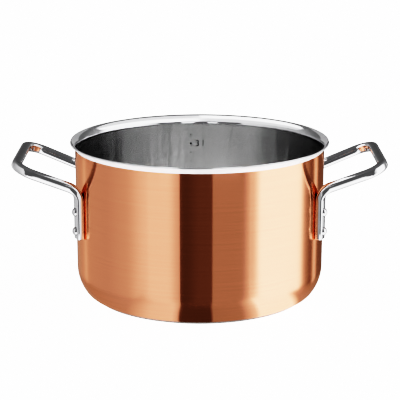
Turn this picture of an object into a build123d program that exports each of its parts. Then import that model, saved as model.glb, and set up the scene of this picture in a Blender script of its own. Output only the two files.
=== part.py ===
from build123d import *
import math
import os

# Two-handled cooking pot, millimetres. The origin is the middle of the base, +Z is up, and the
# handles stand out along +X and -X. The wall is one sheet of three bonded layers, so each layer
# is drawn as the cooking surface moved outwards by a depth.

# Body
INNER_RADIUS = 100.0
TOTAL_HEIGHT = 129.5
LINER_THICKNESS = 0.5
CORE_THICKNESS = 1.2
COPPER_THICKNESS = 0.5
SHEET_THICKNESS = LINER_THICKNESS + CORE_THICKNESS + COPPER_THICKNESS
OUTER_RADIUS = INNER_RADIUS + SHEET_THICKNESS

# Base plate under the body
PLATE_RADIUS = 88.0
PLATE_THICKNESS = 1.5
PLATE_EDGE_RADIUS = 0.5
FLOOR_HEIGHT = PLATE_THICKNESS + SHEET_THICKNESS

# Corner between floor and wall: a tight bend at the floor, then a wide one up to the wall
FLOOR_FLAT_RADIUS = PLATE_RADIUS
TIGHT_BEND_RADIUS = 7.8
TIGHT_BEND_TURN = 54.0
turn_sine = math.sin(math.radians(TIGHT_BEND_TURN))
turn_cosine = math.cos(math.radians(TIGHT_BEND_TURN))
CORNER_WIDTH = INNER_RADIUS - FLOOR_FLAT_RADIUS
WIDE_BEND_RADIUS = (CORNER_WIDTH - TIGHT_BEND_RADIUS * turn_sine) / (1 - turn_sine)
CORNER_HEIGHT = TIGHT_BEND_RADIUS * (1 - turn_cosine) + WIDE_BEND_RADIUS * turn_cosine

# Pouring rim: the sheet rolls outwards, and the copper stops short of its edge
FLARE_RADIUS = 8.4
FLARE_TURN = 71.0
COPPER_TURN = 30.0
FLARE_START = TOTAL_HEIGHT - FLARE_RADIUS * math.sin(math.radians(FLARE_TURN))

# Handles: a square bar bent into a loop, with its ends turned down and flattened into legs
LEG_AZIMUTH = 22.8
LEG_WIDTH = 10.8
LEG_THICKNESS = 6.2
LEG_CORNER = 2.2
LEG_BOTTOM = 55.6
LEG_END_RADIUS = 1.0
LEG_SEATING = 0.2
BAR_SIZE = 8.0
BAR_CORNER = 3.0
ARM_RISE = 21.5
ARM_SPLAY = 6.5
BEND_APEX_HEIGHT = 95.6
BEND_RADIUS = 11.5
BEND_SECTIONS = 7
LOOP_CORNER_RADIUS = 15.0
GRIP_CENTRE_REACH = 147.0

# Rivets: two through each leg
RIVET_HEIGHTS = {"lower": 62.4, "upper": 78.2}
RIVET_SHANK_RADIUS = 2.5
OUTER_HEAD_RADIUS = 3.7
OUTER_HEAD_HEIGHT = 2.8
INNER_HEAD_RADIUS = 4.6
INNER_HEAD_HEIGHT = 1.5
INNER_HEAD_COLLAR = 0.4
BORE_OVERRUN = 5.0
LEG_FACE_RADIUS = OUTER_RADIUS - LEG_SEATING + LEG_THICKNESS
SIDES = {"left": 180.0, "right": 0.0}
ENDS = {"front": -1, "back": 1}


def on_arc(centre, radius, angle):
    """Point of the half section on an arc, with the angle counted from +X towards +Z."""
    turned = math.radians(angle)
    return (centre[0] + radius * math.cos(turned), centre[1] + radius * math.sin(turned))


def wall_line(depth, rim_turn):
    """Half section of the sheet at a depth behind the cooking surface, axis to rim."""
    tight_centre = (FLOOR_FLAT_RADIUS, FLOOR_HEIGHT + TIGHT_BEND_RADIUS)
    tight_radius = TIGHT_BEND_RADIUS + depth
    wide_centre = (INNER_RADIUS - WIDE_BEND_RADIUS, FLOOR_HEIGHT + CORNER_HEIGHT)
    wide_radius = WIDE_BEND_RADIUS + depth
    rim_centre = (INNER_RADIUS + FLARE_RADIUS, FLARE_START)
    rim_radius = FLARE_RADIUS - depth
    join = TIGHT_BEND_TURN - 90

    axis_point = (0, FLOOR_HEIGHT - depth)
    floor_edge = on_arc(tight_centre, tight_radius, -90)
    wall_foot = on_arc(wide_centre, wide_radius, 0)
    wall_top = on_arc(rim_centre, rim_radius, 180)
    tight = (floor_edge, on_arc(tight_centre, tight_radius, (join - 90) / 2),
             on_arc(tight_centre, tight_radius, join))
    wide = (tight[2], on_arc(wide_centre, wide_radius, join / 2), wall_foot)
    flare = (wall_top, on_arc(rim_centre, rim_radius, 180 - rim_turn / 2),
             on_arc(rim_centre, rim_radius, 180 - rim_turn))
    line = Line(axis_point, floor_edge) + ThreePointArc(*tight) + ThreePointArc(*wide)
    line += Line(wall_foot, wall_top) + ThreePointArc(*flare)
    return line, axis_point, flare[2]


def sheet_layer(inner_depth, outer_depth, rim_turn):
    """One layer of the sheet, turned about Z, with the eight rivet holes through it."""
    inner, inner_axis, inner_rim = wall_line(inner_depth, rim_turn)
    outer, outer_axis, outer_rim = wall_line(outer_depth, rim_turn)
    outline = inner + outer + Line(inner_axis, outer_axis) + Line(inner_rim, outer_rim)
    half_section = Plane.XZ * make_face(outline)
    layer = revolve(half_section, Axis.Z)
    return layer - rivet_holes()


def leg_azimuth(side, end):
    """Azimuth of a leg about Z, in degrees; front legs have negative Y."""
    toward = 1 if side == "right" else -1
    return SIDES[side] + toward * ENDS[end] * LEG_AZIMUTH


def rivet_plane(side, end, height, radius=0.0):
    """Plane square to a rivet's axis, facing outwards, at a radius from the pot's axis."""
    turned = math.radians(leg_azimuth(side, end))
    outward = Vector(math.cos(turned), math.sin(turned), 0)
    origin = outward * radius + Vector(0, 0, height)
    return Plane(origin=origin, z_dir=outward, x_dir=(0, 0, 1))


def rivet_holes():
    """All eight rivet shanks as long pins, to be cut out of the sheet and the legs."""
    start = INNER_RADIUS - BORE_OVERRUN
    length = LEG_FACE_RADIUS + BORE_OVERRUN - start
    pins = []
    for side in SIDES:
        for end in ENDS:
            for height in RIVET_HEIGHTS.values():
                place = rivet_plane(side, end, height, start)
                pins.append(extrude(place * Circle(RIVET_SHANK_RADIUS), length))
    return pins


def dome(radius, height):
    """Low spherical cap standing on XY."""
    ball_radius = (radius ** 2 + height ** 2) / (2 * height)
    ball = Pos(0, 0, height - ball_radius) * Sphere(ball_radius)
    room = Pos(0, 0, height) * Box(4 * radius, 4 * radius, 2 * height)
    return ball & room


def rivet(side, end, height):
    """Solid rivet: shank, outer head on the leg's flat face, inner head on the liner."""
    length = LEG_FACE_RADIUS - INNER_RADIUS
    shank_base = rivet_plane(side, end, height, INNER_RADIUS - INNER_HEAD_HEIGHT / 2)
    shank = extrude(shank_base * Circle(RIVET_SHANK_RADIUS), length + INNER_HEAD_HEIGHT / 2)
    outer_place = rivet_plane(side, end, height, LEG_FACE_RADIUS).location
    outer_head = outer_place * dome(OUTER_HEAD_RADIUS, OUTER_HEAD_HEIGHT)

    # The inner head is a dome on a short collar that is cut back to the curve of the liner.
    collar_top = rivet_plane(side, end, height, INNER_RADIUS - INNER_HEAD_COLLAR)
    inward = collar_top.location * Rot(180, 0, 0)
    inner_head = inward * dome(INNER_HEAD_RADIUS, INNER_HEAD_HEIGHT - INNER_HEAD_COLLAR)
    collar = inward * Pos(0, 0, -INNER_HEAD_COLLAR) * Cylinder(INNER_HEAD_RADIUS, 2 * INNER_HEAD_COLLAR)
    bore = Pos(0, 0, height) * Cylinder(INNER_RADIUS, 4 * INNER_HEAD_RADIUS)
    inner_head = (inner_head + collar) & bore
    return shank + outer_head + inner_head


def bar_section(origin, along, across, width, thickness, corner):
    """Rounded rectangle square to the bar, with its width in the across direction."""
    place = Plane(origin=origin, z_dir=along, x_dir=across)
    return place * RectangleRounded(width, thickness, corner)


def square_section(origin, along, across):
    """Section of the arms and the grip, which keep the bar's own size."""
    return bar_section(origin, along, across, BAR_SIZE, BAR_SIZE, BAR_CORNER)


def square_to(direction, other):
    """Unit vector in the plane of two directions, square to the second one."""
    return (direction - other * direction.dot(other)).normalized()


def arm_direction():
    """Unit vector up the front arm of the right handle."""
    rise = math.radians(ARM_RISE)
    splay = math.radians(ARM_SPLAY)
    level = math.cos(rise)
    return Vector(level * math.cos(splay), -level * math.sin(splay), math.sin(rise))


def bend_frame(step):
    """Bar direction and bend radius direction part of the way round, step from 0 to 1."""
    splay = math.radians(ARM_SPLAY)
    away = Vector(math.cos(splay), -math.sin(splay), 0)
    turned = math.radians(step * (90 - ARM_RISE))
    along = away * math.sin(turned) + Vector(0, 0, math.cos(turned))
    towards_centre = away * math.cos(turned) - Vector(0, 0, math.sin(turned))
    return along, towards_centre


def bend_section(step, bend_centre):
    """Section on the bend, going from the flat leg to the square arm."""
    along, towards_centre = bend_frame(step)
    level = Vector(math.sin(math.radians(ARM_SPLAY)), math.cos(math.radians(ARM_SPLAY)), 0)
    grip_across = square_to(Vector(0, 1, 0), arm_direction())
    leg_twist = math.radians(LEG_AZIMUTH - ARM_SPLAY)
    arm_twist = math.atan2(grip_across.dot(bend_frame(1)[1]), grip_across.dot(level))
    blend = 3 * step ** 2 - 2 * step ** 3
    twist = leg_twist + (arm_twist - leg_twist) * blend
    across = level * math.cos(twist) + towards_centre * math.sin(twist)
    width = LEG_WIDTH + (BAR_SIZE - LEG_WIDTH) * blend
    thickness = LEG_THICKNESS + (BAR_SIZE - LEG_THICKNESS) * blend
    corner = LEG_CORNER + (BAR_CORNER - LEG_CORNER) * blend
    origin = bend_centre - towards_centre * BEND_RADIUS
    return bar_section(origin, along, across, width, thickness, corner)


def half_handle():
    """Front half of the right handle, from the end of its leg to the middle of its grip."""
    leg_turned = math.radians(-LEG_AZIMUTH)
    leg_radius = LEG_FACE_RADIUS - LEG_THICKNESS / 2
    bend_start = BEND_APEX_HEIGHT - BEND_RADIUS * math.tan(math.radians((90 - ARM_RISE) / 2))
    leg_top = Vector(leg_radius * math.cos(leg_turned), leg_radius * math.sin(leg_turned), bend_start)
    bend_centre = leg_top + bend_frame(0)[1] * BEND_RADIUS
    steps = [index / (BEND_SECTIONS - 1) for index in range(BEND_SECTIONS)]
    sections = [bend_section(step, bend_centre) for step in steps]
    bend = loft(sections)
    leg = extrude(sections[0], bend_start - LEG_BOTTOM, dir=(0, 0, -1))
    leg_end = leg.faces().sort_by(Axis.Z)[0]
    leg = fillet(leg_end.edges(), LEG_END_RADIUS)

    along = arm_direction()
    grip_along = Vector(0, 1, 0)
    across = square_to(grip_along, along)
    arm_start = bend_centre - bend_frame(1)[1] * BEND_RADIUS
    corner_turn = along.get_angle(grip_along)
    corner_setback = LOOP_CORNER_RADIUS * math.tan(math.radians(corner_turn / 2))
    corner_apex = arm_start + along * ((GRIP_CENTRE_REACH - arm_start.X) / along.X)
    arm_end = corner_apex - along * corner_setback
    arm = extrude(square_section(arm_start, along, across), (arm_end - arm_start).length)

    corner_centre = arm_end + across * LOOP_CORNER_RADIUS
    corner_axis = Axis(corner_centre, along.cross(grip_along))
    corner = revolve(square_section(arm_end, along, across), corner_axis, corner_turn)
    grip_start = corner_apex + grip_along * corner_setback
    grip_across = square_to(along, grip_along)
    grip = extrude(square_section(grip_start, grip_along, grip_across), -grip_start.Y)
    return leg + bend + arm + corner + grip


def handle(side):
    """Whole handle: two mirrored halves, seated on the wall and bored for its rivets."""
    half = half_handle()
    loop = half + mirror(half, Plane.XZ)
    if side == "left":
        loop = mirror(loop, Plane.YZ)
    wall = Pos(0, 0, TOTAL_HEIGHT / 2) * Cylinder(OUTER_RADIUS, TOTAL_HEIGHT)
    return loop - wall - rivet_holes()


def base_plate():
    """Steel disc under the copper, with its lower edge rounded."""
    disc = extrude(Circle(PLATE_RADIUS), PLATE_THICKNESS)
    lower_edge = disc.edges().sort_by(Axis.Z)[0]
    return fillet(lower_edge, PLATE_EDGE_RADIUS)


def save(shape, name):
    """Write one node and check that it is one closed solid."""
    solids = shape.solids()
    assert len(solids) == 1, f"{name}: {len(solids)} solids"
    solids[0].label = name
    export_step(solids[0], f"parts/{name}.step")


def main():
    os.makedirs("parts", exist_ok=True)
    core_depth = LINER_THICKNESS
    copper_depth = LINER_THICKNESS + CORE_THICKNESS
    save(sheet_layer(0, core_depth, FLARE_TURN), "steel_liner")
    save(sheet_layer(core_depth, copper_depth, FLARE_TURN), "aluminium_core")
    save(sheet_layer(copper_depth, SHEET_THICKNESS, COPPER_TURN), "copper_outer_shell")
    save(base_plate(), "base_plate")
    for side in SIDES:
        save(handle(side), f"handle_{side}")
        for end in ENDS:
            for level, height in RIVET_HEIGHTS.items():
                save(rivet(side, end, height), f"rivet_{side}_{end}_{level}")


main()
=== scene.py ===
import math

import bmesh
import bpy
from mathutils import Matrix, Vector


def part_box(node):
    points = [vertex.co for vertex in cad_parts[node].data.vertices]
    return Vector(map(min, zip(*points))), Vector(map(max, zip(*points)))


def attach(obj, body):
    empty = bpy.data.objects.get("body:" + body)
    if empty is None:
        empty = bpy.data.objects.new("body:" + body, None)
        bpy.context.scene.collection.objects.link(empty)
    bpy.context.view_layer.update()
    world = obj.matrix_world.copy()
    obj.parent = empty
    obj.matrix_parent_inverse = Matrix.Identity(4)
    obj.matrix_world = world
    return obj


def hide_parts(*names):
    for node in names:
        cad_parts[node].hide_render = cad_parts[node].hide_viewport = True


# Looks for the two-handled cooking pot, in metres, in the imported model's frame: the origin is the
# middle of the base, +Z is up, the handles stand out along +X and -X, and the front is towards -Y.

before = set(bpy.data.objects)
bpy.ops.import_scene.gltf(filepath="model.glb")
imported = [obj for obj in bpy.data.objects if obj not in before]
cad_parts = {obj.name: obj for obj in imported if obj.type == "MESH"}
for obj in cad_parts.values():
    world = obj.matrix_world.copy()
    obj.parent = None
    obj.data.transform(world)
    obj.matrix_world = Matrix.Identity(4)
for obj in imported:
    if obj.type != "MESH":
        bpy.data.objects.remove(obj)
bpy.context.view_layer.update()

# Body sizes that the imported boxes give
PLATE_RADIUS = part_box("base_plate")[1].x
PLATE_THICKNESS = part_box("base_plate")[1].z

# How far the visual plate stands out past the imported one, so that its edge shows at the foot
PLATE_LEDGE = 0.0012
PLATE_EDGE_RADIUS = 0.0003

# Layers of the sheet, as depths behind the cooking surface
LINER_DEPTH = 0.0005
CORE_DEPTH = 0.0017
SHEET_DEPTH = 0.0022
INNER_RADIUS = 0.1
OUTER_RADIUS = INNER_RADIUS + SHEET_DEPTH
FLOOR_HEIGHT = PLATE_THICKNESS + SHEET_DEPTH

# Corner and rim of the sheet
TIGHT_RADIUS = 0.0078
TIGHT_TURN = 54
TIGHT_SINE = math.sin(math.radians(TIGHT_TURN))
TIGHT_COSINE = math.cos(math.radians(TIGHT_TURN))
WIDE_RADIUS = (INNER_RADIUS - PLATE_RADIUS - TIGHT_RADIUS * TIGHT_SINE) / (1 - TIGHT_SINE)
CORNER_HEIGHT = TIGHT_RADIUS * (1 - TIGHT_COSINE) + WIDE_RADIUS * TIGHT_COSINE
FLARE_RADIUS = 0.0084
FLARE_TURN = 71
RIM_TOP = 0.1295
FLARE_START = RIM_TOP - FLARE_RADIUS * math.sin(math.radians(FLARE_TURN))
# The copper follows the flare on its inner side and ends in a straight edge on its outer side
COPPER_TURN = 19
COPPER_TRIM = 0.0024

# Handles
LEG_AZIMUTH = math.radians(22.8)
LEG_WIDTH = 0.0108
LEG_THICKNESS = 0.0062
LEG_CORNER = 0.0022
LEG_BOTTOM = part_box("handle_right")[0].z
LEG_END_RADIUS = 0.001
LEG_FACE_RADIUS = OUTER_RADIUS - 0.0002 + LEG_THICKNESS
BAR_SIZE = 0.008
BAR_CORNER = 0.003
ARM_RISE = math.radians(21.5)
ARM_SPLAY = math.radians(6.5)
BEND_APEX_HEIGHT = 0.0956
BEND_RADIUS = 0.0115
LOOP_CORNER_RADIUS = 0.015
GRIP_REACH = 0.147

# Rivets
OUTER_HEAD_RADIUS = 0.0037
OUTER_HEAD_HEIGHT = 0.0028
OUTER_SKIRT = 0.0002
INNER_HEAD_RADIUS = 0.0046
INNER_HEAD_HEIGHT = 0.0015
INNER_COLLAR = 0.0004
INNER_SKIRT = 0.0006

# Litre scale inside, on the back wall
SCALE_AZIMUTH = math.radians(94.5)
THREE_LITRE_HEIGHT = 0.104
LITRE_RISE = 1e-3 / (math.pi * INNER_RADIUS ** 2)
SCALE_PROUD = 0.0001
WHOLE_DOT_RADIUS = 0.00085
QUARTER_DOT_RADIUS = 0.0005
LETTER_START = 0.004
LETTER_SIZE = 0.0078
LETTER_THINNING = 0.00006

# Facets round the pot
TURN_STEPS = 288


# Geometry

def new_piece(mesh, name, materials, sharp_angle=35):
    """Object from a bmesh, smooth but for edges sharper than an angle, riding on the pot."""
    bmesh.ops.recalc_face_normals(mesh, faces=mesh.faces)
    data = bpy.data.meshes.new(name)
    mesh.to_mesh(data)
    mesh.free()
    for material in materials:
        data.materials.append(material)
    data.shade_smooth()
    data.set_sharp_from_angle(angle=math.radians(sharp_angle))
    piece = bpy.data.objects.new(name, data)
    bpy.context.scene.collection.objects.link(piece)
    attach(piece, "root")
    return piece


def turn(mesh, outline, steps, place=Matrix(), material_of=None):
    """Add a closed outline of (radius, height) points, turned about the Z axis of a place."""
    rings = []
    for radius, height in outline:
        if radius < 1e-7:
            rings.append([mesh.verts.new(place @ Vector((0, 0, height)))] * steps)
            continue
        ring = []
        for step in range(steps):
            angle = 2 * math.pi * step / steps
            point = Vector((radius * math.cos(angle), radius * math.sin(angle), height))
            ring.append(mesh.verts.new(place @ point))
        rings.append(ring)
    for index, ring in enumerate(rings):
        following = rings[(index + 1) % len(rings)]
        for step in range(steps):
            after = (step + 1) % steps
            corners = [ring[step], ring[after], following[after], following[step]]
            corners = list(dict.fromkeys(corners))
            if len(corners) > 2:
                face = mesh.faces.new(corners)
                if material_of:
                    face.material_index = material_of(outline[index])


def arc(centre, radius, start, end, steps):
    """Points of an arc in the half section, angles in degrees from +X towards +Z."""
    points = []
    for step in range(steps + 1):
        angle = math.radians(start + (end - start) * step / steps)
        points.append((centre[0] + radius * math.cos(angle), centre[1] + radius * math.sin(angle)))
    return points


def sheet_side(depth, rim_turn):
    """Half section of the sheet at a depth behind the cooking surface, axis to rim."""
    join = TIGHT_TURN - 90
    tight_centre = (PLATE_RADIUS, FLOOR_HEIGHT + TIGHT_RADIUS)
    wide_centre = (INNER_RADIUS - WIDE_RADIUS, FLOOR_HEIGHT + CORNER_HEIGHT)
    rim_centre = (INNER_RADIUS + FLARE_RADIUS, FLARE_START)
    side = [(0, FLOOR_HEIGHT - depth), (PLATE_RADIUS * 0.98, FLOOR_HEIGHT - depth)]
    side += arc(tight_centre, TIGHT_RADIUS + depth, -90, join, 14)
    side += arc(wide_centre, WIDE_RADIUS + depth, join, 0, 22)[1:]
    side += arc(rim_centre, FLARE_RADIUS - depth, 180, 180 - rim_turn, 20)
    return side


def rounded_edge(side, other, radius, steps=5):
    """Points that round the edge where two sides of the sheet end, radius in metres."""
    ends = [Vector(side[-1]), Vector(other[-1])]
    inward = [(Vector(side[-2]) - ends[0]).normalized(), (Vector(other[-2]) - ends[1]).normalized()]
    across = (ends[1] - ends[0]).normalized()
    points = []
    for corner, along, sideways in ((ends[0], inward[0], across), (ends[1], inward[1], -across)):
        centre = corner + (along + sideways) * radius
        run = []
        for step in range(steps + 1):
            angle = math.pi / 2 * step / steps
            point = centre - sideways * radius * math.cos(angle) - along * radius * math.sin(angle)
            run.append(tuple(point))
        points += run if corner is ends[0] else run[::-1]
    return points


def layer_outline(inner_depth, outer_depth, rim_turn, edge_radius):
    """Closed half section of one layer, with its cut edge rounded."""
    inner = sheet_side(inner_depth, rim_turn)
    outer = sheet_side(outer_depth, rim_turn)
    edge = rounded_edge(inner, outer, edge_radius)
    return inner[:-1] + edge + outer[:-1][::-1]


def rounded_rectangle(width, depth, corner, steps=8):
    """Outline of a bar's section, a rectangle with rounded corners."""
    points = []
    for quarter, (x_sign, y_sign) in enumerate(((1, 1), (-1, 1), (-1, -1), (1, -1))):
        centre = (x_sign * (width / 2 - corner), y_sign * (depth / 2 - corner))
        points += arc(centre, corner, 90 * quarter, 90 * quarter + 90, steps)
    return points


def section(origin, across, out, width, depth, corner):
    """Section of a bar placed in space."""
    return [origin + across * x + out * y for x, y in rounded_rectangle(width, depth, corner)]


def square_to(direction, other):
    """Unit vector in the plane of two directions, square to the second one."""
    return (direction - other * direction.dot(other)).normalized()


def bend_frame(step):
    """Bar direction and direction to the bend's centre, part of the way round, 0 to 1."""
    away = Vector((math.cos(ARM_SPLAY), -math.sin(ARM_SPLAY), 0))
    turned = step * (math.pi / 2 - ARM_RISE)
    along = away * math.sin(turned) + Vector((0, 0, math.cos(turned)))
    towards_centre = away * math.cos(turned) - Vector((0, 0, math.sin(turned)))
    return along, towards_centre


def half_handle():
    """Sections of the front half of the right handle, from its leg's end to its middle."""
    leg_out = Vector((math.cos(LEG_AZIMUTH), -math.sin(LEG_AZIMUTH), 0))
    leg_across = Vector((math.sin(LEG_AZIMUTH), math.cos(LEG_AZIMUTH), 0))
    bend_start = BEND_APEX_HEIGHT - BEND_RADIUS * math.tan((math.pi / 2 - ARM_RISE) / 2)
    leg_centre = leg_out * (LEG_FACE_RADIUS - LEG_THICKNESS / 2)
    rings = []
    for step in range(5):
        angle = math.pi / 2 * step / 4
        inset = LEG_END_RADIUS * (1 - math.sin(angle))
        height = LEG_BOTTOM + LEG_END_RADIUS * (1 - math.cos(angle))
        origin = leg_centre + Vector((0, 0, height))
        rings.append(section(origin, leg_across, leg_out, LEG_WIDTH - 2 * inset,
                             LEG_THICKNESS - 2 * inset, LEG_CORNER - inset))
    for step in range(1, 6):
        height = LEG_BOTTOM + LEG_END_RADIUS + (bend_start - LEG_BOTTOM - LEG_END_RADIUS) * step / 6
        origin = leg_centre + Vector((0, 0, height))
        rings.append(section(origin, leg_across, leg_out, LEG_WIDTH, LEG_THICKNESS, LEG_CORNER))

    bend_centre = leg_centre + Vector((0, 0, bend_start)) + bend_frame(0)[1] * BEND_RADIUS
    level = Vector((math.sin(ARM_SPLAY), math.cos(ARM_SPLAY), 0))
    arm_along = bend_frame(1)[0]
    arm_across = square_to(Vector((0, 1, 0)), arm_along)
    leg_twist = LEG_AZIMUTH - ARM_SPLAY
    arm_twist = math.atan2(arm_across.dot(bend_frame(1)[1]), arm_across.dot(level))
    bend_steps = 20
    for index in range(bend_steps + 1):
        step = index / bend_steps
        along, towards_centre = bend_frame(step)
        blend = 3 * step ** 2 - 2 * step ** 3
        twist = leg_twist + (arm_twist - leg_twist) * blend
        across = level * math.cos(twist) + towards_centre * math.sin(twist)
        out = along.cross(across) * -1
        width = LEG_WIDTH + (BAR_SIZE - LEG_WIDTH) * blend
        depth = LEG_THICKNESS + (BAR_SIZE - LEG_THICKNESS) * blend
        corner = LEG_CORNER + (BAR_CORNER - LEG_CORNER) * blend
        origin = bend_centre - towards_centre * BEND_RADIUS
        rings.append(section(origin, across, out, width, depth, corner))

    arm_start = bend_centre - bend_frame(1)[1] * BEND_RADIUS
    arm_out = arm_along.cross(arm_across) * -1
    grip_along = Vector((0, 1, 0))
    corner_turn = arm_along.angle(grip_along)
    setback = LOOP_CORNER_RADIUS * math.tan(corner_turn / 2)
    apex = arm_start + arm_along * ((GRIP_REACH - arm_start.x) / arm_along.x)
    arm_end = apex - arm_along * setback
    for step in range(1, 13):
        origin = arm_start.lerp(arm_end, step / 12)
        rings.append(section(origin, arm_across, arm_out, BAR_SIZE, BAR_SIZE, BAR_CORNER))

    corner_centre = arm_end + arm_across * LOOP_CORNER_RADIUS
    axis = arm_along.cross(grip_along).normalized()
    for step in range(1, 21):
        turned = Matrix.Rotation(corner_turn * step / 20, 3, axis)
        across = turned @ arm_across
        origin = corner_centre - across * LOOP_CORNER_RADIUS
        rings.append(section(origin, across, arm_out, BAR_SIZE, BAR_SIZE, BAR_CORNER))
    grip_start = origin
    for step in range(1, 7):
        origin = Vector((grip_start.x, grip_start.y * (1 - step / 6), grip_start.z))
        rings.append(section(origin, across, arm_out, BAR_SIZE, BAR_SIZE, BAR_CORNER))
    return rings


def build_handle(side, material):
    """One handle: both halves swept as one skin, closed at the ends of its legs."""
    half = half_handle()
    other = [[Vector((p.x, -p.y, p.z)) for p in ring] for ring in half[:-1]]
    rings = half + other[::-1]
    if side == "left":
        rings = [[Vector((-p.x, p.y, p.z)) for p in ring] for ring in rings]
    mesh = bmesh.new()
    made = [[mesh.verts.new(point) for point in ring] for ring in rings]
    for ring, following in zip(made, made[1:]):
        for index in range(len(ring)):
            after = (index + 1) % len(ring)
            mesh.faces.new((ring[index], ring[after], following[after], following[index]))
    mesh.faces.new(made[0])
    mesh.faces.new(made[-1])
    piece = new_piece(mesh, f"looped_handle_{side}", [material], sharp_angle=60)
    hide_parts(f"handle_{side}")
    return piece


def dome_outline(radius, height, skirt):
    """Closed outline of a domed head on a short skirt that reaches below its seat."""
    ball = (radius ** 2 + height ** 2) / (2 * height)
    spread = math.degrees(math.asin(min(1, radius / ball)))
    cap = arc((0, height - ball), ball, 90 - spread, 90, 14)
    cap[-1] = (0, height)
    return [(0, -skirt), (radius, -skirt)] + cap


def build_rivets(material):
    """Eight rivets, each a domed head on the leg and a flatter one inside the pot."""
    for name in sorted(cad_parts):
        if not name.startswith("rivet_"):
            continue
        low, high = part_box(name)
        middle = (low + high) / 2
        azimuth = math.atan2(math.copysign(math.sin(LEG_AZIMUTH), middle.y),
                             math.copysign(math.cos(LEG_AZIMUTH), middle.x))
        outward = Vector((math.cos(azimuth), math.sin(azimuth), 0))
        turned = outward.to_track_quat("Z", "Y").to_matrix().to_4x4()
        height = Vector((0, 0, middle.z))
        mesh = bmesh.new()
        outer_place = Matrix.Translation(outward * LEG_FACE_RADIUS + height) @ turned
        turn(mesh, dome_outline(OUTER_HEAD_RADIUS, OUTER_HEAD_HEIGHT, OUTER_SKIRT), 48, outer_place)
        inner_place = Matrix.Translation(outward * (INNER_RADIUS - INNER_COLLAR) + height) @ turned
        inner_place = inner_place @ Matrix.Rotation(math.pi, 4, "X")
        inner_rise = INNER_HEAD_HEIGHT - INNER_COLLAR
        turn(mesh, dome_outline(INNER_HEAD_RADIUS, inner_rise, INNER_SKIRT), 48, inner_place)
        piece = new_piece(mesh, name.replace("rivet", "rivet_heads"), [material])
        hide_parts(name)


def on_back_wall(across, height):
    """Point just proud of the cooking surface, across the scale's own line."""
    angle = SCALE_AZIMUTH - across / INNER_RADIUS
    radius = INNER_RADIUS - SCALE_PROUD
    return Vector((radius * math.cos(angle), radius * math.sin(angle), height))


def add_dot(mesh, height, radius):
    """One round mark of the litre scale."""
    corners = []
    for step in range(20):
        angle = 2 * math.pi * step / 20
        point = on_back_wall(radius * math.cos(angle), height + radius * math.sin(angle))
        corners.append(mesh.verts.new(point))
    mesh.faces.new(corners)


def add_word(mesh, word, across, height, size):
    """Lettering bent round the wall, its left end at across and its middle at a height."""
    curve = bpy.data.curves.new("lettering", "FONT")
    curve.body = word
    curve.size = size
    curve.align_y = "CENTER"
    curve.resolution_u = 6
    curve.offset = -LETTER_THINNING
    letters = bpy.data.objects.new("lettering", curve)
    flat = bpy.data.meshes.new_from_object(letters)
    bent = {}
    for vertex in flat.vertices:
        bent[vertex.index] = mesh.verts.new(on_back_wall(across + vertex.co.x, height + vertex.co.y))
    for polygon in flat.polygons:
        mesh.faces.new([bent[index] for index in polygon.vertices])
    bpy.data.objects.remove(letters)
    bpy.data.curves.remove(curve)
    bpy.data.meshes.remove(flat)


def build_litre_scale(material):
    """Etched scale: a dot every quarter litre, a larger dot and a number at whole litres."""
    mesh = bmesh.new()
    for quarters in range(2, 14):
        litres = quarters / 4
        height = THREE_LITRE_HEIGHT + (litres - 3) * LITRE_RISE
        whole = quarters % 4 == 0
        add_dot(mesh, height, WHOLE_DOT_RADIUS if whole else QUARTER_DOT_RADIUS)
        if whole:
            add_word(mesh, f"{quarters // 4} l", LETTER_START, height, LETTER_SIZE)
    piece = new_piece(mesh, "litre_scale", [material])


def build_body(copper, core, liner, rim, plate):
    """The three layers of the sheet and the plate under them."""
    mesh = bmesh.new()
    inner_side = sheet_side(CORE_DEPTH, COPPER_TURN)
    outer_side = sheet_side(SHEET_DEPTH, 0) + [(OUTER_RADIUS, FLARE_START + COPPER_TRIM)]
    turn(mesh, inner_side + outer_side[::-1], TURN_STEPS)
    shell = new_piece(mesh, "copper_skin", [copper])
    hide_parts("copper_outer_shell")

    mesh = bmesh.new()
    turn(mesh, layer_outline(LINER_DEPTH, CORE_DEPTH, FLARE_TURN, 0.0003), TURN_STEPS)
    middle = new_piece(mesh, "core_sheet", [core])
    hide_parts("aluminium_core")

    mesh = bmesh.new()
    outline = layer_outline(0, LINER_DEPTH, FLARE_TURN, 0.0002)
    turn(mesh, outline, TURN_STEPS, material_of=lambda point: int(point[1] > FLARE_START - 1e-6))
    lining = new_piece(mesh, "steel_lining", [liner, rim])
    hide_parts("steel_liner")

    mesh = bmesh.new()
    reach = PLATE_RADIUS + PLATE_LEDGE
    outline = [(0, 0), (reach * 0.5, 0)]
    outline += arc((reach - PLATE_EDGE_RADIUS, PLATE_EDGE_RADIUS), PLATE_EDGE_RADIUS, -90, 0, 6)
    outline += [(reach, PLATE_THICKNESS), (0, PLATE_THICKNESS)]
    turn(mesh, outline, TURN_STEPS)
    disc = new_piece(mesh, "turned_base_plate", [plate])
    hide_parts("base_plate")


# Materials

def add_node(tree, kind, settings=None, **inputs):
    """Make a shader node; an input given as a socket is linked, and a plain value is set."""
    made = tree.nodes.new(kind)
    for name, value in (settings or {}).items():
        setattr(made, name, value)
    for name, value in inputs.items():
        socket = made.inputs[name.replace("_", " ")]
        if isinstance(value, bpy.types.NodeSocket):
            tree.links.new(value, socket)
        else:
            socket.default_value = value
    return made


def maths(tree, operation, *values):
    """Math node on numbers or sockets; gives its output socket."""
    made = tree.nodes.new("ShaderNodeMath")
    made.operation = operation
    for socket, value in zip(made.inputs, values):
        if isinstance(value, bpy.types.NodeSocket):
            tree.links.new(value, socket)
        else:
            socket.default_value = value
    return made.outputs[0]


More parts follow.
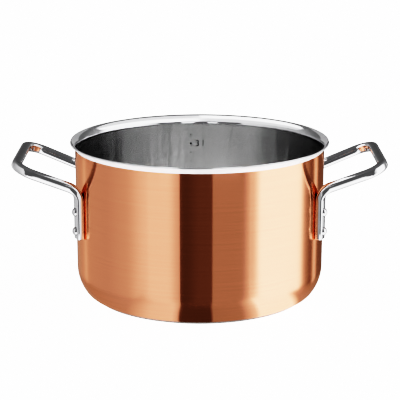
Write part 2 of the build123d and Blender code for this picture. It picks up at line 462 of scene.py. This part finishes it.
def map_range(tree, value, low, high, new_low, new_high):
    """Smooth change from one range to another."""
    made = add_node(tree, "ShaderNodeMapRange", {"interpolation_type": "SMOOTHSTEP"}, Value=value)
    for name, number in (("From Min", low), ("From Max", high), ("To Min", new_low), ("To Max", new_high)):
        made.inputs[name].default_value = number
    return made.outputs["Result"]


def noise(tree, vector, scale, detail):
    """Noise texture's factor."""
    made = add_node(tree, "ShaderNodeTexNoise", Vector=vector, Scale=scale, Detail=detail)
    return made.outputs["Fac"]


def new_metal(name, colour, roughness):
    """Metal material with its tree, its shader and the object's own coordinates."""
    material = bpy.data.materials.new(name)
    material.use_nodes = True
    tree = material.node_tree
    shader = tree.nodes["Principled BSDF"]
    shader.inputs["Base Color"].default_value = (*colour, 1)
    shader.inputs["Metallic"].default_value = 1
    shader.inputs["Roughness"].default_value = roughness
    coordinates = tree.nodes.new("ShaderNodeTexCoord").outputs["Object"]
    return material, tree, shader, coordinates


def set_shader(material, socket, value):
    """Set one constant of a material's shader."""
    material.node_tree.nodes["Principled BSDF"].inputs[socket].default_value = value


def tinted(tree, shader, colour, factor, change):
    """Vary the base colour by a share of itself, following a 0 to 1 factor."""
    dark = [channel * (1 - change) for channel in colour]
    light = [min(1, channel * (1 + change)) for channel in colour]
    mixed = add_node(tree, "ShaderNodeMix", {"data_type": "RGBA"})
    tree.links.new(factor, mixed.inputs["Factor"])
    for socket, value in zip([s for s in mixed.inputs if s.type == "RGBA"], (dark, light)):
        socket.default_value = (*value, 1)
    output = [s for s in mixed.outputs if s.type == "RGBA"][0]
    tree.links.new(output, shader.inputs["Base Color"])


def brushed_metal(name, colour, roughness, stretch, line_scale, wave_depth, change):
    """Metal brushed in rings round the pot: fine lines, a highlight stretched across them, and
    slight upright waves that are kept off the floor of the pot."""
    material, tree, shader, coordinates = new_metal(name, colour, roughness)
    shader.inputs["Anisotropic"].default_value = stretch
    shader.inputs["Anisotropic Rotation"].default_value = 0.25
    around = add_node(tree, "ShaderNodeTangent", {"direction_type": "RADIAL", "axis": "Z"})
    tree.links.new(around.outputs["Tangent"], shader.inputs["Tangent"])

    x, y, z = add_node(tree, "ShaderNodeSeparateXYZ", Vector=coordinates).outputs
    squares = maths(tree, "ADD", maths(tree, "MULTIPLY", x, x), maths(tree, "MULTIPLY", y, y))
    travel = maths(tree, "SUBTRACT", z, maths(tree, "SQRT", squares))
    lines = add_node(tree, "ShaderNodeCombineXYZ", X=maths(tree, "MULTIPLY", x, 12),
                     Y=maths(tree, "MULTIPLY", y, 12), Z=maths(tree, "MULTIPLY", travel, line_scale))
    fine = noise(tree, lines.outputs["Vector"], 1, 4)
    slow = noise(tree, coordinates, 22, 3)
    tinted(tree, shader, colour, map_range(tree, fine, 0.3, 0.7, 0, 1), change)
    spread = map_range(tree, fine, 0.3, 0.7, roughness * 0.96, roughness * 1.04)
    haze = map_range(tree, slow, 0.35, 0.65, -0.01, 0.015)
    tree.links.new(maths(tree, "ADD", spread, haze), shader.inputs["Roughness"])

    upright = add_node(tree, "ShaderNodeCombineXYZ", X=x, Y=y, Z=maths(tree, "MULTIPLY", z, 0.1))
    on_wall = map_range(tree, z, 0.015, 0.045, 0, 1)
    dents = maths(tree, "MULTIPLY", noise(tree, upright.outputs["Vector"], 50, 2), on_wall)
    waves = add_node(tree, "ShaderNodeBump", Height=dents, Strength=1.0, Distance=wave_depth)
    tree.links.new(waves.outputs["Normal"], shader.inputs["Normal"])
    return material


def polished_metal(name, colour, roughness, wave_depth):
    """Polished metal with faint smears and the slight unevenness that hand polishing leaves."""
    material, tree, shader, coordinates = new_metal(name, colour, roughness)
    smears = noise(tree, coordinates, 160, 4)
    tinted(tree, shader, colour, map_range(tree, smears, 0.35, 0.65, 0, 1), 0.02)
    spread = map_range(tree, smears, 0.3, 0.75, roughness * 0.8, roughness * 1.4)
    tree.links.new(spread, shader.inputs["Roughness"])
    dents = noise(tree, coordinates, 90, 1)
    waves = add_node(tree, "ShaderNodeBump", Height=dents, Strength=1.0, Distance=wave_depth)
    tree.links.new(waves.outputs["Normal"], shader.inputs["Normal"])
    return material


def etched_mark():
    """Dark etching in the steel, matt and slightly uneven."""
    grey = (0.12, 0.12, 0.12)
    material, tree, shader, coordinates = new_metal("etched_scale", grey, 0.6)
    tinted(tree, shader, grey, noise(tree, coordinates, 2500, 3), 0.3)
    set_shader(material, "Metallic", 0.4)
    return material


# Studio

def light_ramp(tree, position, stops, peak):
    """Brightness along 0 to 1 from (place, level) stops, as a share of the peak level."""
    made = add_node(tree, "ShaderNodeValToRGB", Fac=position)
    elements = made.color_ramp.elements
    for index, (place, level) in enumerate(stops):
        element = elements[index] if index < 2 else elements.new(place)
        element.position = place
        element.color = (level / peak, level / peak, level / peak, 1)
    return made.outputs["Color"]


def azimuth_ramp(tree, azimuth, levels):
    """Brightness by azimuth in radians, from (degrees, level) pairs."""
    place = maths(tree, "MULTIPLY_ADD", azimuth, 0.5 / math.pi, 0.5)
    stops = [((degrees + 180) / 360, level) for degrees, level in levels]
    return light_ramp(tree, place, stops, PEAK_LEVEL)


def mix_levels(tree, factor, first, second):
    """Blend of two brightness sockets or numbers."""
    made = add_node(tree, "ShaderNodeMix", {"data_type": "FLOAT"})
    for name, value in (("Factor", factor), ("A", first), ("B", second)):
        socket = made.inputs[name]
        if isinstance(value, bpy.types.NodeSocket):
            tree.links.new(value, socket)
        else:
            socket.default_value = value
    return made.outputs["Result"]


# Brightness round the room at table height and below, as (azimuth from the front, level)
LOW_LEVELS = (
    (-180, 0.5), (-169, 0.6), (-158, 1.0), (-144, 1.1), (-137, 1.2), (-131, 1.7), (-128, 1.15),
    (-94, 1.1), (-70, 1.26), (-54, 1.75), (-43, 1.9), (-40, 0.45), (40, 0.45), (43, 1.35),
    (48, 1.45), (53, 2.0), (57, 3.3), (105, 3.3), (113, 1.15), (124, 0.5), (129, 0.5), (132, 1.9),
    (137, 1.9), (140, 0.55), (169, 0.5), (180, 0.5),
)
# Brightness of the table close to the foot
FOOT_LEVELS = (
    (-180, 0.6), (-90, 0.9), (-60, 1.0), (-40, 1.1), (-26, 1.8), (-14, 1.9), (-11, 1.4),
    (-9.8, 0.36), (6.3, 0.36), (7, 0.85), (22, 0.9), (30, 2.0), (32, 3.2), (55, 3.2), (62, 1.1),
    (90, 0.75), (180, 0.6),
)
# Brightness above table height
HIGH_LEVELS = (
    (-180, 0.4), (-140, 0.6), (-110, 1.1), (-54, 1.7), (-43, 1.7), (-40, 0.45), (40, 0.45),
    (43, 1.7), (57, 3.0), (102, 3.0), (114, 1.0), (140, 0.6), (180, 0.4),
)
PEAK_LEVEL = 4.5
ZENITH_LEVEL = 0.5
TABLE_LEVEL = 3.2
MOUTH_LEVELS = (1.9, 3.2)
REAR_LEVEL = 1.0
GAP_LEVEL = 0.36
SHADE_LEVEL = 0.9
PANEL_LEVEL = 1.95
LIP_LEVEL = 3.6
BACKDROP_LEVEL = 5.0

# Cards close to the pot: distance to the front, edges of the dark gap, outer edges and heights
FRONT_DISTANCE = 0.13
GAP_LEFT = -0.0245
GAP_RIGHT = 0.0156
PANEL_REACH = 0.08
LIP_REACH = 0.055
PANEL_TOP = 0.128
LIP_TOP = 0.17
FOOT_REACH = 0.13
FOOT_FRONT_SINE = 0.79
MOUTH_HEIGHT = 0.19
MOUTH_REACH = 0.08
MOUTH_BACK = 0.118
REAR_DISTANCE = 0.13
REAR_NEAR = 0.05
REAR_FAR = 0.095
REAR_BOTTOM = 0.09
REAR_TOP = 0.185

# Product-photo contrast: scene light shown as full white, slope of the S curve, gain and toe
TONE_WHITE = 5.0
TONE_SLOPE = 2.6
TONE_GAIN = 1.02
TONE_TOE = 0.007


def build_world():
    """Studio room: light that varies by azimuth, a dim ceiling, a bright table and a white backdrop."""
    world = bpy.data.worlds.new("studio")
    bpy.context.scene.world = world
    world.use_nodes = True
    tree = world.node_tree
    direction = tree.nodes.new("ShaderNodeTexCoord").outputs["Generated"]
    x, y, z = add_node(tree, "ShaderNodeSeparateXYZ", Vector=direction).outputs
    azimuth = maths(tree, "ARCTAN2", x, maths(tree, "MULTIPLY", y, -1))
    elevation = maths(tree, "MULTIPLY", maths(tree, "ARCSINE", z), 180 / math.pi)

    low = azimuth_ramp(tree, azimuth, LOW_LEVELS)
    high = azimuth_ramp(tree, azimuth, HIGH_LEVELS)
    level = mix_levels(tree, map_range(tree, elevation, -2, 10, 0, 1), low, high)
    level = mix_levels(tree, map_range(tree, elevation, 35, 60, 0, 1), level, ZENITH_LEVEL / PEAK_LEVEL)
    sideways = maths(tree, "ABSOLUTE", azimuth)
    table_edge = map_range(tree, sideways, math.radians(34), math.radians(46), -18, -40)
    below = map_range(tree, maths(tree, "SUBTRACT", elevation, table_edge), -4, 3, 1, 0)
    table = maths(tree, "MULTIPLY", below, map_range(tree, y, -0.45, -0.25, 1, 0))
    level = mix_levels(tree, table, level, TABLE_LEVEL / PEAK_LEVEL)
    seen = tree.nodes.new("ShaderNodeLightPath").outputs["Is Camera Ray"]
    level = mix_levels(tree, seen, level, BACKDROP_LEVEL / PEAK_LEVEL)
    background = tree.nodes["Background"]
    tree.links.new(level, background.inputs["Color"])
    background.inputs["Strength"].default_value = PEAK_LEVEL


def build_floor():
    """Pale floor that glows softly, as a lit table does, and keeps a faint contact shadow."""
    mesh = bmesh.new()
    bmesh.ops.create_circle(mesh, cap_ends=True, segments=128, radius=30)
    data = bpy.data.meshes.new("studio_floor")
    mesh.to_mesh(data)
    mesh.free()
    floor = bpy.data.objects.new("studio_floor", data)
    bpy.context.scene.collection.objects.link(floor)
    floor.location.z = -0.0002
    floor.visible_glossy = False
    material = bpy.data.materials.new("pale_floor")
    material.use_nodes = True
    tree = material.node_tree
    shader = tree.nodes["Principled BSDF"]
    coordinates = tree.nodes.new("ShaderNodeTexCoord").outputs["Object"]
    tinted(tree, shader, (0.9, 0.9, 0.9), noise(tree, coordinates, 3, 2), 0.01)
    shader.inputs["Roughness"].default_value = 0.9
    shader.inputs["Emission Color"].default_value = (1, 1, 1, 1)
    shader.inputs["Emission Strength"].default_value = 3.6
    data.materials.append(material)


def build_card(name, corners):
    """Flat card that only shows in polished metal; gives its material's tree and its glow."""
    mesh = bmesh.new()
    mesh.faces.new([mesh.verts.new(corner) for corner in corners])
    data = bpy.data.meshes.new(name)
    mesh.to_mesh(data)
    mesh.free()
    card = bpy.data.objects.new(name, data)
    bpy.context.scene.collection.objects.link(card)
    card.visible_camera = False
    card.visible_diffuse = False
    card.visible_shadow = False
    card.visible_transmission = False
    material = bpy.data.materials.new(name)
    material.use_nodes = True
    tree = material.node_tree
    tree.nodes.clear()
    glow = add_node(tree, "ShaderNodeEmission", Color=(1, 1, 1, 1))
    output = tree.nodes.new("ShaderNodeOutputMaterial")
    tree.links.new(glow.outputs[0], output.inputs["Surface"])
    data.materials.append(material)
    return tree, glow


def upright_card(name, y, left, right, low, high):
    """Card standing square to the Y axis."""
    return build_card(name, [(left, y, low), (right, y, low), (right, y, high), (left, y, high)])


def build_front_cards():
    """Panels close in front of the wall: lit, dark gap and shaded, with light ones level with the lip."""
    plain = (("lip_card_left", -LIP_REACH, GAP_LEFT), ("lip_card_right", GAP_RIGHT, LIP_REACH))
    for name, left, right in plain:
        glow = upright_card(name, -FRONT_DISTANCE, left, right, PANEL_TOP, LIP_TOP)[1]
        glow.inputs["Strength"].default_value = LIP_LEVEL
    graded = (
        ("panel_card", -PANEL_REACH, GAP_LEFT, PANEL_TOP, -0.042, -0.025, PANEL_LEVEL, 0.72 * PANEL_LEVEL),
        ("gap_card", GAP_LEFT, GAP_RIGHT, LIP_TOP, -0.018, 0.002, GAP_LEVEL, 1.2 * GAP_LEVEL),
        ("shade_card", GAP_RIGHT, PANEL_REACH, PANEL_TOP, 0.058, 0.09, SHADE_LEVEL, PANEL_LEVEL),
    )
    for name, left, right, high, start, end, first, last in graded:
        tree, glow = upright_card(name, -FRONT_DISTANCE, left, right, 0, high)
        coordinates = tree.nodes.new("ShaderNodeTexCoord").outputs["Object"]
        across = add_node(tree, "ShaderNodeSeparateXYZ", Vector=coordinates).outputs["X"]
        tree.links.new(map_range(tree, across, start, end, first, last), glow.inputs["Strength"])


def build_foot_card():
    """The table close to the foot, round but for a straight front edge, which lights the base."""
    corners = []
    for step in range(144):
        angle = 2 * math.pi * step / 144
        forward = -math.sin(angle)
        radius = FOOT_REACH / forward if forward > FOOT_FRONT_SINE else FOOT_REACH
        corners.append((radius * math.cos(angle), radius * math.sin(angle), -0.0001))
    tree, glow = build_card("foot_card", corners)
    coordinates = tree.nodes.new("ShaderNodeTexCoord").outputs["Object"]
    x, y, _ = add_node(tree, "ShaderNodeSeparateXYZ", Vector=coordinates).outputs
    azimuth = maths(tree, "ARCTAN2", x, maths(tree, "MULTIPLY", y, -1))
    tree.links.new(azimuth_ramp(tree, azimuth, FOOT_LEVELS), glow.inputs["Color"])
    glow.inputs["Strength"].default_value = PEAK_LEVEL


def build_rim_cards():
    """Soft lights over the mouth and behind the rim, for the rolled edge of the pot."""
    sides = (("left", -1, MOUTH_LEVELS[0]), ("right", 1, MOUTH_LEVELS[1]))
    for side, sign, level in sides:
        far = sign * MOUTH_REACH
        outline = ((0, -MOUTH_REACH), (far, -MOUTH_REACH), (far, MOUTH_BACK), (0, MOUTH_BACK))
        glow = build_card(f"mouth_card_{side}", [(x, y, MOUTH_HEIGHT) for x, y in outline])[1]
        glow.inputs["Strength"].default_value = level
    for side, sign, _ in sides:
        near = sign * REAR_NEAR
        far = sign * REAR_FAR
        glow = upright_card(f"rear_card_{side}", REAR_DISTANCE, near, far, REAR_BOTTOM, REAR_TOP)[1]
        glow.inputs["Strength"].default_value = REAR_LEVEL


def set_tone():
    """Product-photo contrast: a steep S curve from dark room to white table."""
    view = bpy.context.scene.view_settings
    view.view_transform = "Standard"
    view.use_curve_mapping = True
    curves = view.curve_mapping
    curves.white_level = (TONE_WHITE, TONE_WHITE, TONE_WHITE)
    curve = curves.curves[3]
    steps = 14
    for step in range(steps + 1):
        place = (step / steps) ** 1.6
        powered = (place * TONE_WHITE) ** TONE_SLOPE
        shown = max(0, min(1, TONE_GAIN * powered / (powered + 1) - TONE_TOE))
        if step in (0, steps):
            curve.points[0 if step == 0 else len(curve.points) - 1].location = (place, shown)
        else:
            curve.points.new(place, shown)
    curves.update()


def build_camera():
    """Long lens, looking down at the pot from the front."""
    data = bpy.data.cameras.new("camera")
    camera = bpy.data.objects.new("camera", data)
    bpy.context.scene.collection.objects.link(camera)
    distance = 1.2
    elevation = math.radians(15.2)
    aim = Vector((0, 0, 0.0612))
    camera.location = aim + distance * Vector((0, -math.cos(elevation), math.sin(elevation)))
    camera.rotation_euler = (math.pi / 2 - elevation, 0, 0)
    data.lens = 129.6
    data.sensor_width = 36
    data.shift_x = 0.001
    data.shift_y = 0.0475
    bpy.context.scene.camera = camera


copper = brushed_metal("brushed_copper", (0.95, 0.52, 0.368), 0.18, 0.96, 1500, 0.000002, 0.02)
set_shader(copper, "Specular Tint", (1, 0.85, 0.75, 1))
liner_steel = brushed_metal("satin_liner", (0.88, 0.88, 0.88), 0.22, 0.5, 800, 0.0014, 0.01)
rim_steel = polished_metal("polished_rim", (0.78, 0.78, 0.79), 0.08, 0.00001)
core_metal = polished_metal("ground_aluminium", (0.9, 0.9, 0.91), 0.42, 0.00001)
set_shader(core_metal, "Metallic", 0.4)
plate_steel = brushed_metal("turned_steel", (0.3, 0.3, 0.3), 0.5, 0.3, 900, 0.00001, 0.06)
set_shader(plate_steel, "Metallic", 0.2)
handle_steel = polished_metal("polished_steel", (0.8, 0.8, 0.81), 0.06, 0.00001)
rivet_steel = polished_metal("rivet_steel", (0.78, 0.78, 0.79), 0.1, 0.00001)

build_body(copper, core_metal, liner_steel, rim_steel, plate_steel)
build_handle("left", handle_steel)
build_handle("right", handle_steel)
build_rivets(rivet_steel)
build_litre_scale(etched_mark())
build_world()
build_floor()
build_front_cards()
build_foot_card()
build_rim_cards()
build_camera()
set_tone()
